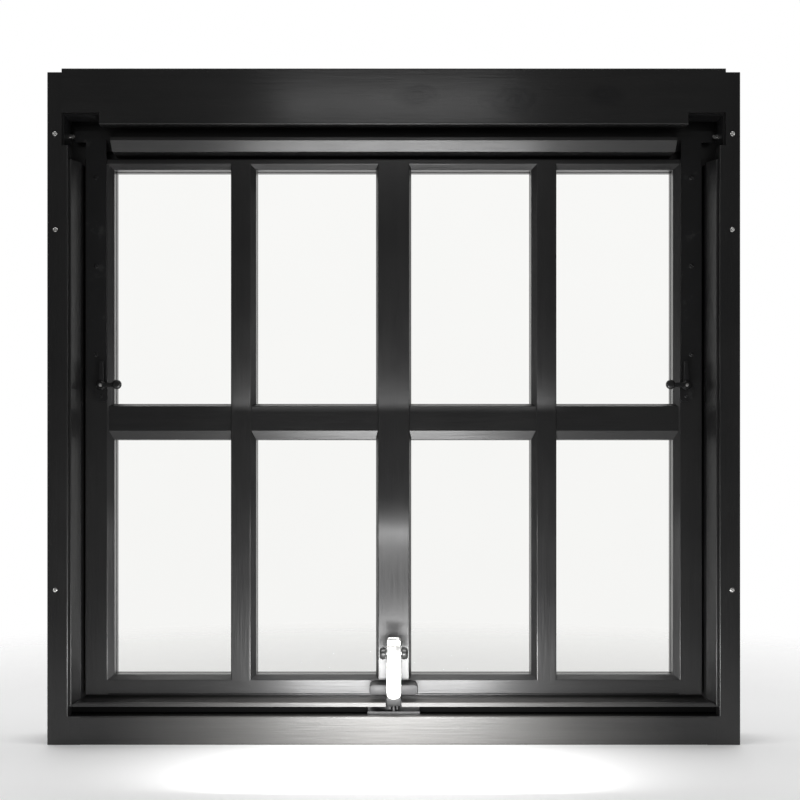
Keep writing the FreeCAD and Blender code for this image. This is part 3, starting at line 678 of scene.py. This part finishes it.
class WINDOW_OT_screws(bpy.types.Operator):
    """Domed, slotted screws in the casing and in the straps"""
    bl_idname = "window.screws"
    bl_label = "Screws"

    def execute(self, context):
        radius = settings().fittings.screw_head
        nickel = bright_metal("nickel_screws", settings().finish, (0.2, 1.0, 1.0))
        casing_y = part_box("header_board")[0][1]
        mesh = self.heads(CASING_SCREWS, casing_y, radius)
        finished_piece("casing_screw_heads", mesh, "frame", nickel,
                       ["casing_screws"])
        strap_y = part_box("hinge_strap_left")[0][1]
        base_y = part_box("lock_base_left")[0][1]
        mesh = self.heads(STRAP_SCREWS, strap_y, radius)
        join_into(mesh, self.heads([LOCK_SCREW], base_y, radius * 0.76))
        finished_piece("sash_screw_heads", mesh, "sash",
                       finish_named("black_lacquer"), ["sash_screws"])
        return {"FINISHED"}

    def heads(self, spots, face, radius):
        """Both mirror halves of a set of screw heads on one face."""
        mesh = bmesh.new()
        for x, z in spots:
            for side in (-1, 1):
                outline = [(0.0, 0.0), (radius, 0.0), (radius * 0.96, radius * 0.2),
                           (radius * 0.72, radius * 0.38), (radius * 0.36, radius * 0.46),
                           (0.0, radius * 0.48)]
                head = spun(outline, (side * x, face, z), (0, -1, 0), 24)
                for vert in head.verts:
                    across = abs((vert.co.z - z) * 0.8 + (vert.co.x - side * x) * 0.6)
                    raised = face - vert.co.y > radius * 0.3
                    if across < radius * 0.14 and raised:
                        vert.co.y += radius * 0.3
                join_into(mesh, head)
        return mesh


class WINDOW_OT_stage(bpy.types.Operator):
    """Pale floor, soft light and the camera"""
    bl_idname = "window.stage"
    bl_label = "Stage"

    def execute(self, context):
        stage = settings().stage
        self.floor()
        self.sky(stage)
        self.lights(stage)
        self.camera(stage)
        context.scene.view_settings.view_transform = "Standard"
        return {"FINISHED"}

    def floor(self):
        mesh = bmesh.new()
        bmesh.ops.create_circle(mesh, cap_ends=True, radius=FLOOR_REACH, segments=96)
        data = bpy.data.meshes.new("floor")
        mesh.to_mesh(data)
        mesh.free()
        ground = bpy.data.objects.new("floor", data)
        bpy.context.scene.collection.objects.link(ground)
        data.materials.append(pale_floor("pale_floor", settings().finish, FLOOR_REACH))

    def sky(self, stage):
        world = bpy.data.worlds.new("studio")
        bpy.context.scene.world = world
        world.use_nodes = True
        shader = Shader(world.node_tree)
        toward = shader.node("ShaderNodeTexCoord", out="Generated")
        parts = shader.node("ShaderNodeSeparateXYZ", inputs={0: toward}, out="Y")
        weather = (parts * 1.6 + 0.5).at_least(0.0).at_most(1.0)
        level = weather * (stage.sky_back - stage.sky_front) + stage.sky_front
        light = shader.node("ShaderNodeBackground", inputs={"Color": grey(1.0),
                                                            "Strength": level})
        shader.node("ShaderNodeOutputWorld", inputs={"Surface": light})

    def lights(self, stage):
        scene = bpy.context.scene
        sun = bpy.data.lights.new("overhead", "SUN")
        sun.energy = stage.overhead
        sun.angle = math.radians(SUN_SPREAD)
        above = bpy.data.objects.new("overhead", sun)
        above.rotation_euler = (math.radians(SUN_TILT), 0.0, 0.0)
        scene.collection.objects.link(above)
        self.strip("low_front", stage.low_light, ahead=0.3, height=0.06, tilt=112, length=0.34)
        self.strip("upper_front", stage.upper_light, ahead=0.042, height=0.5, tilt=170,
                   length=0.5)
        self.strip("header_front", stage.header_light, ahead=0.35, height=1.03, tilt=80,
                   length=0.4)
        self.strip("over_crank", stage.crank_light, ahead=0.1, height=0.3, tilt=20, length=0.3)

    def strip(self, name, watts, ahead, height, tilt, length):
        """A strip lamp before the window; a tilt of 0 degrees points down, 90 outwards."""
        data = bpy.data.lights.new(name, "AREA")
        data.shape = "RECTANGLE"
        data.size = length
        data.size_y = LAMP_WIDTH
        data.energy = watts
        lamp = bpy.data.objects.new(name, data)
        lamp.location = (0.0, LOW.y - ahead, height)
        lamp.rotation_euler = (math.radians(tilt), 0.0, 0.0)
        lamp.visible_camera = False
        lamp.visible_transmission = False
        bpy.context.scene.collection.objects.link(lamp)

    def camera(self, stage):
        lens = bpy.data.cameras.new("camera")
        lens.sensor_width = 36.0
        lens.lens = LENS
        lens.shift_x, lens.shift_y = LENS_SHIFT
        casing_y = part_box("header_board")[0][1]
        camera = bpy.data.objects.new("camera", lens)
        camera.location = (CAMERA_X, casing_y - stage.camera_distance, stage.camera_height)
        camera.rotation_euler = (math.radians(90), 0.0, 0.0)
        bpy.context.scene.collection.objects.link(camera)
        bpy.context.scene.camera = camera


# ---- panel and registration --------------------------------------------------------
STEPS = [WINDOW_OT_stage, WINDOW_OT_paint, WINDOW_OT_metal, WINDOW_OT_crank, WINDOW_OT_grip,
         WINDOW_OT_housing, WINDOW_OT_locks, WINDOW_OT_screws]


class WINDOW_PT_looks(bpy.types.Panel):
    """Lists the steps that dress the window"""
    bl_label = "Window"
    bl_idname = "WINDOW_PT_looks"
    bl_space_type = "VIEW_3D"
    bl_region_type = "UI"
    bl_category = "Window"

    def draw(self, context):
        for step in STEPS:
            self.layout.operator(step.bl_idname)


CLASSES = [FinishSettings, FittingSettings, StageSettings, WindowLooks] + STEPS + [WINDOW_PT_looks]


def register():
    for cls in CLASSES:
        bpy.utils.register_class(cls)
    bpy.types.Scene.window_looks = PointerProperty(type=WindowLooks)


def unregister():
    del bpy.types.Scene.window_looks
    for cls in reversed(CLASSES):
        bpy.utils.unregister_class(cls)


def main():
    register()
    for step in STEPS:
        group, name = step.bl_idname.split(".")
        getattr(getattr(bpy.ops, group), name)()


if __name__ == "__main__":
    main()
